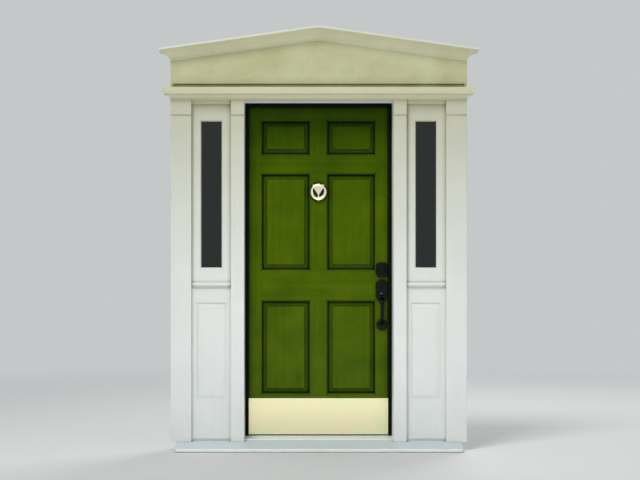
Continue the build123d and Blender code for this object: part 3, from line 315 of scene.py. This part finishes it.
white_metal, tree, shader = new_material("white_metal")
place = put(tree, "ShaderNodeTexCoord", {}).outputs["Object"]
chalk = put(tree, "ShaderNodeTexNoise", {"Vector": place, "Scale": 14.0, "Detail": 5.0}).outputs[0]
mixed = blend(tree, chalk, (0.66, 0.66, 0.60, 1), (0.59, 0.59, 0.53, 1))
dull = put(tree, "ShaderNodeMapRange", {"Value": chalk, "To Min": 0.4, "To Max": 0.6})
bump = put(tree, "ShaderNodeBump", {"Height": chalk, "Strength": 0.06, "Distance": 0.002})
tree.links.new(mixed, shader.inputs["Base Color"])
tree.links.new(dull.outputs[0], shader.inputs["Roughness"])
tree.links.new(bump.outputs[0], shader.inputs["Normal"])


def pick(piece, test):
    """Select only the faces whose centre and normal pass the test, in edit mode."""
    mesh = bmesh.from_edit_mesh(piece.data)
    for face in mesh.faces:
        face.select_set(test(face.calc_center_median(), face.normal))
    bmesh.update_edit_mesh(piece.data)


for side, name in ((-1, "drip_strip_left"), (1, "drip_strip_right")):
    bpy.ops.object.select_all(action="DESELECT")
    middle = (side * strip_reach / 2, strip_front, strip_top - strip_face / 2)
    bpy.ops.mesh.primitive_cube_add(size=1, location=middle, scale=(strip_reach, strip_gauge, strip_face))
    strip = bpy.context.object
    strip.name = name
    bpy.ops.object.transform_apply(location=True, rotation=True, scale=True)
    bpy.ops.object.mode_set(mode="EDIT")
    bpy.ops.mesh.select_mode(type="FACE")
    pick(strip, lambda centre, normal: normal.z < -0.5)
    bpy.ops.mesh.extrude_region_move(TRANSFORM_OT_translate={"value": foot_kick})
    pick(strip, lambda centre, normal: normal.z > 0.5 and centre.z > strip_top - 0.001)
    bpy.ops.mesh.extrude_region_move(TRANSFORM_OT_translate={"value": lip_rise})
    pick(strip, lambda centre, normal: normal.x * side > 0.5)
    bpy.ops.transform.translate(value=(0, 0, -strip_fall * strip_reach))
    bpy.ops.mesh.select_all(action="SELECT")
    bpy.ops.mesh.normals_make_consistent(inside=False)
    bpy.ops.object.mode_set(mode="OBJECT")
    edges = strip.modifiers.new("edges", "BEVEL")
    edges.width = strip_arris
    edges.segments = 2
    bpy.ops.object.modifier_apply(modifier="edges")
    strip.data.materials.append(white_metal)
    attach(strip, "frame")

# Head flashing: painted sheet metal, bent over the cornice and turned up at the foot of the tympanum. Its
# paint is darker and browner than the rest of the crown, as a painted shadow along the tympanum's foot.
flashing_shadow_paint = painted_wood("flashing_shadow_paint", (0.40, 0.39, 0.21), (0.26, 0.235, 0.115), across, 0.55, 0.2,
                              corner_shade=(0.85, 0.82, 0.7))
finish(flashing_shadow_paint, "head_flashing")

# Weatherstrip and sweep: rubber with a dull skin. The strip is black and pushed into a groove in the stops,
# the sweep is grey, fixed under the leaf, and wipes the threshold.


def rubber(name, colour):
    """Soft rubber with a fine dull skin."""
    made, tree, shader = new_material(name)
    place = put(tree, "ShaderNodeTexCoord", {}).outputs["Object"]
    skin = put(tree, "ShaderNodeTexNoise", {"Vector": place, "Scale": 400.0, "Detail": 3.0}).outputs[0]
    dull = put(tree, "ShaderNodeMapRange", {"Value": skin, "To Min": 0.55, "To Max": 0.8})
    bump = put(tree, "ShaderNodeBump", {"Height": skin, "Strength": 0.25, "Distance": 0.0003})
    shader.inputs["Base Color"].default_value = (*colour, 1)
    shader.inputs["Specular IOR Level"].default_value = 0.06
    tree.links.new(dull.outputs[0], shader.inputs["Roughness"])
    tree.links.new(bump.outputs[0], shader.inputs["Normal"])
    return made


finish(rubber("black_rubber", (0.002, 0.004, 0.002)), "weatherstrip")
finish(rubber("grey_rubber", (0.30, 0.30, 0.26)), "door_sweep")

# Leaf: stiles, rails, mullions and six raised panels, painted a deep olive green. Brush marks run along the
# grain of each piece, and painted shade darkens the paint in the corners, round the panels and towards the
# head.
leaf_green = (0.086, 0.140, 0.0007)
leaf_shade = (0.050, 0.104, 0.0005)
leaf_corner_shade = (0.01, 0.03, 0.1)
leaf_height_shade = (0.38, 0.51, 0.8)
leaf_coat = {"roughness": 0.36, "brush": 0.25, "gloss": 0.04, "corner_shade": leaf_corner_shade, "streaks": 0.1,
             "height_shade": leaf_height_shade, "height_shade_z": (1.35, 2.05)}
leaf_upright = painted_wood("leaf_paint_upright", leaf_green, leaf_shade, upright, reach=0.055,
                            clear_from=1.08, **leaf_coat)
leaf_across = painted_wood("leaf_paint_across", leaf_green, leaf_shade, across, reach=0.055,
                           clear_from=1.08, **leaf_coat)
stile_green = painted_wood("leaf_paint_stile", leaf_green, leaf_shade, upright, reach=0.035,
                           clear_from=1.06, **leaf_coat)
finish(stile_green, "hinge_stile", "lock_stile")
finish(leaf_upright, "upper_mullion", "middle_mullion", "lower_mullion",
       "upper_panel_left", "upper_panel_right", "middle_panel_left", "middle_panel_right",
       "lower_panel_left", "lower_panel_right")
finish(leaf_across, "top_rail", "frieze_rail", "lock_rail", "bottom_rail")

# Kick plate: a sheet of polished brass over the whole foot of the leaf, screwed to it. It has gone pale with
# cleaning, and is clouded in places.


def brass(name, yellow, pale, roughness):
    """Polished brass, rubbed from side to side."""
    made, tree, shader = new_material(name)
    place = put(tree, "ShaderNodeTexCoord", {}).outputs["Object"]
    drawn = put(tree, "ShaderNodeMapping", {"Vector": place, "Scale": (0.03, 1.0, 1.0)}).outputs[0]
    rubs = put(tree, "ShaderNodeTexNoise", {"Vector": drawn, "Scale": 700.0, "Detail": 3.0}).outputs[0]
    cloud = put(tree, "ShaderNodeTexNoise", {"Vector": place, "Scale": 9.0, "Detail": 5.0}).outputs[0]
    tone = put(tree, "ShaderNodeMapRange", {"Value": cloud, "From Min": 0.35, "From Max": 0.65}).outputs[0]
    mixed = blend(tree, tone, (*yellow, 1), (*pale, 1))
    dull = put(tree, "ShaderNodeMapRange", {"Value": rubs, "To Min": roughness - 0.06,
                                            "To Max": roughness + 0.1})
    rounded = put(tree, "ShaderNodeBevel", {"Radius": 0.0012}, samples=4).outputs[0]
    bump = put(tree, "ShaderNodeBump", {"Height": rubs, "Strength": 0.1, "Distance": 0.0002,
                                        "Normal": rounded})
    shader.inputs["Metallic"].default_value = 1.0
    tree.links.new(mixed, shader.inputs["Base Color"])
    tree.links.new(dull.outputs[0], shader.inputs["Roughness"])
    tree.links.new(bump.outputs[0], shader.inputs["Normal"])
    return made


kick_brass = brass("kick_plate_brass", (0.615, 0.56, 0.36), (0.565, 0.575, 0.35), 0.36)
finish(kick_brass, "kick_plate")

# Screws of the kick plate: ten oval-headed brass wood screws, four along its head, four along its foot and
# one halfway up each side. They were driven by hand, so their slots lie anyhow.
head_radius = 0.0036
head_depth = 0.0010
head_sunk = 0.0001
rim_width = 0.0007
rim_rise = 0.0004
dome_width = 0.0012
dome_rise = 0.0003
slot_half = 0.00045
slot_depth = 0.0006

bpy.ops.object.select_all(action="DESELECT")
bpy.ops.mesh.primitive_cylinder_add(vertices=24, radius=head_radius, depth=head_depth,
                                    location=(0, 0, head_sunk))
screw = bpy.context.object
screw.name = "screw_head"
bpy.ops.object.transform_apply(location=True, rotation=True, scale=True)
bpy.ops.object.mode_set(mode="EDIT")
bpy.ops.mesh.select_mode(type="FACE")
pick(screw, lambda centre, normal: normal.z > 0.5)
bpy.ops.mesh.inset(thickness=rim_width)
bpy.ops.transform.translate(value=(0, 0, rim_rise))
bpy.ops.mesh.inset(thickness=dome_width)
bpy.ops.transform.translate(value=(0, 0, dome_rise))
for edge_y in (-slot_half, slot_half):
    bpy.ops.mesh.select_all(action="SELECT")
    bpy.ops.mesh.bisect(plane_co=(0, edge_y, 0), plane_no=(0, 1, 0))
pick(screw, lambda centre, normal: normal.z > 0.3 and abs(centre.y) < slot_half)
bpy.ops.mesh.extrude_region_move(TRANSFORM_OT_translate={"value": (0, 0, -slot_depth)})
bpy.ops.mesh.select_all(action="SELECT")
bpy.ops.mesh.normals_make_consistent(inside=False)
bpy.ops.object.mode_set(mode="OBJECT")
bpy.ops.object.shade_smooth_by_angle(angle=radians(35))


def drive(name, places, facing, material, body, size=1.0, proud=1.0):
    """A copy of the screw at each place, facing that way, and all of them made one piece.

    size is how wide the head is and proud how far it stands out, both beside the screw as modelled.
    """
    slot_turn = 1.9
    copies = []
    for index, place in enumerate(places):
        bpy.ops.object.select_all(action="DESELECT")
        screw.select_set(True)
        bpy.context.view_layer.objects.active = screw
        bpy.ops.object.duplicate()
        copy = bpy.context.object
        copy.matrix_world = (Matrix.Translation(place) @ facing @ Matrix.Rotation(index * slot_turn, 4, "Z")
                             @ Matrix.Diagonal((size, size, proud, 1)))
        bpy.ops.object.transform_apply(location=True, rotation=True, scale=True)
        copies.append(copy)
    for copy in copies:
        copy.select_set(True)
    bpy.ops.object.join()
    copies[-1].name = name
    copies[-1].data.materials.append(material)
    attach(copies[-1], body)


facing_out = Matrix.Rotation(radians(90), 4, "X")
plate_low, plate_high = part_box("kick_plate")
rim = 0.012
plate_rows = [(x, plate_low.y, z) for z in (plate_low.z + rim, plate_high.z - rim)
              for x in (plate_low.x + rim, plate_low.x / 3, plate_high.x / 3, plate_high.x - rim)]
plate_sides = [(x, plate_low.y, (plate_low.z + plate_high.z) / 2)
               for x in (plate_low.x + rim, plate_high.x - rim)]
drive("kick_plate_screws", plate_rows + plate_sides, facing_out, kick_brass, "leaf")

# Knocker: a cast brass plate on the mullion, and a ring hanging in its lug. The ring is round where it hangs
# and swells inwards to a broad foot, which the fingers lift.
knocker_brass = brass("knocker_brass", (0.95, 0.90, 0.66), (0.92, 0.91, 0.66), 0.3)
finish(knocker_brass, "knocker_plate")


def smoothstep(low, high, value):
    """0 below low, 1 above high, and a smooth rise between them."""
    share = min(max((value - low) / (high - low), 0), 1)
    return share * share * (3 - 2 * share)


ring_low, ring_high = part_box("knocker_ring")
ring_centre = (ring_low + ring_high) / 2
ring_reach = 0.0440
ring_wire = 0.0055
ring_swell = 0.0035
swell_from = radians(40)
swell_full = radians(105)

bpy.ops.object.select_all(action="DESELECT")
bpy.ops.mesh.primitive_torus_add(major_segments=80, minor_segments=20, major_radius=ring_reach,
                                 minor_radius=ring_wire, location=ring_centre, rotation=(radians(90), 0, 0))
ring = bpy.context.object
ring.name = "striker_ring"
bpy.ops.object.transform_apply(location=True, rotation=True, scale=True)
for vertex in ring.data.vertices:
    arm = Vector((vertex.co.x, 0, vertex.co.z - ring_centre.z))
    share = smoothstep(swell_from, swell_full, arm.angle(Vector((0, 0, 1))))
    middle = ring_reach - ring_swell * share
    arm.length = middle + (arm.length - ring_reach) * (1 + ring_swell * share / ring_wire)
    vertex.co.x = arm.x
    vertex.co.z = ring_centre.z + arm.z
bpy.ops.object.shade_smooth()
ring.data.materials.append(knocker_brass)
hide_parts("knocker_ring")
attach(ring, "knocker")

# Hinges, strikes, lock cases and bolts: pressed and turned steel with a brushed nickel finish, screwed to
# the wood or let into it. The roses, the thumbturn and the knob indoors have the same finish.
brushed_nickel, tree, shader = new_material("brushed_nickel")
place = put(tree, "ShaderNodeTexCoord", {}).outputs["Object"]
drawn = put(tree, "ShaderNodeMapping", {"Vector": place, "Scale": (1.0, 1.0, 0.04)}).outputs[0]
rubs = put(tree, "ShaderNodeTexNoise", {"Vector": drawn, "Scale": 900.0, "Detail": 3.0}).outputs[0]
dull = put(tree, "ShaderNodeMapRange", {"Value": rubs, "To Min": 0.24, "To Max": 0.44})
rounded = put(tree, "ShaderNodeBevel", {"Radius": 0.0008}, samples=4).outputs[0]
bump = put(tree, "ShaderNodeBump", {"Height": rubs, "Strength": 0.12, "Distance": 0.0002,
                                    "Normal": rounded})
shader.inputs["Base Color"].default_value = (0.56, 0.55, 0.51, 1)
shader.inputs["Metallic"].default_value = 1.0
tree.links.new(dull.outputs[0], shader.inputs["Roughness"])
tree.links.new(bump.outputs[0], shader.inputs["Normal"])
finish(brushed_nickel, "hinge_frame_leaves", "hinge_door_leaves", "hinge_pins", "strike_plates", "lock_cases",
       "deadbolt_bolt", "latch_bolt", "interior_roses", "thumbturn", "knob")

# Steel screws: four flat-headed ones in each hinge leaf, two in each strike and each faceplate of the locks,
# and four oval-headed ones in the threshold, all in the finish of the hinges.
jamb_face = 0.4600
leaf_edge = 0.4570
hinge_centres = (0.409, 1.1455, 1.882)
hinge_pattern = ((0.054, -0.040), (0.066, -0.014), (0.054, 0.014), (0.066, 0.040))
hinge_holes = [(y, centre + offset) for centre in hinge_centres for y, offset in hinge_pattern]
facing_right = Matrix.Rotation(radians(90), 4, "Y")
facing_left = Matrix.Rotation(radians(-90), 4, "Y")
drive("hinge_frame_screws", [(-jamb_face, y, z) for y, z in hinge_holes], facing_right, brushed_nickel,
      "frame", size=1.1, proud=0.35)
drive("hinge_door_screws", [(-leaf_edge, y, z) for y, z in hinge_holes], facing_left, brushed_nickel,
      "leaf", size=1.1, proud=0.35)
deadbolt_height = 1.086
latch_height = 0.946
lock_screw_reach = 0.0225
lock_line = 0.06075
lock_heights = [height + offset for height in (deadbolt_height, latch_height)
                for offset in (-lock_screw_reach, lock_screw_reach)]
drive("strike_screws", [(jamb_face, lock_line, z) for z in lock_heights], facing_left, brushed_nickel,
      "frame", size=0.9, proud=0.35)
drive("faceplate_screws", [(leaf_edge, lock_line, z) for z in lock_heights], facing_right, brushed_nickel,
      "leaf", size=0.9, proud=0.35)
threshold_line = 0.0285
threshold_top = 0.0740
threshold_holes = [(x, threshold_line, threshold_top) for x in (-0.40, -0.133, 0.133, 0.40)]
drive("threshold_screws", threshold_holes, Matrix.Identity(4), brushed_nickel, "frame",
      size=1.2, proud=0.6)
bpy.data.objects.remove(screw)

# Handleset, deadbolt housing, thumbpiece and key plug: cast metal in a baked black finish. The casting's skin
# still shows through it, and hands have rubbed it a little.
baked_black, tree, shader = new_material("baked_black")
place = put(tree, "ShaderNodeTexCoord", {}).outputs["Object"]
cast = put(tree, "ShaderNodeTexNoise", {"Vector": place, "Scale": 260.0, "Detail": 4.0}).outputs[0]
dull = put(tree, "ShaderNodeMapRange", {"Value": cast, "To Min": 0.22, "To Max": 0.42})
rounded = put(tree, "ShaderNodeBevel", {"Radius": 0.0015}, samples=4).outputs[0]
bump = put(tree, "ShaderNodeBump", {"Height": cast, "Strength": 0.15, "Distance": 0.0004,
                                    "Normal": rounded})
shader.inputs["Base Color"].default_value = (0.002, 0.003, 0.003, 1)
shader.inputs["Specular IOR Level"].default_value = 0.12
tree.links.new(dull.outputs[0], shader.inputs["Roughness"])
tree.links.new(bump.outputs[0], shader.inputs["Normal"])
finish(baked_black, "handleset", "deadbolt_housing", "thumbpiece", "key_plug")
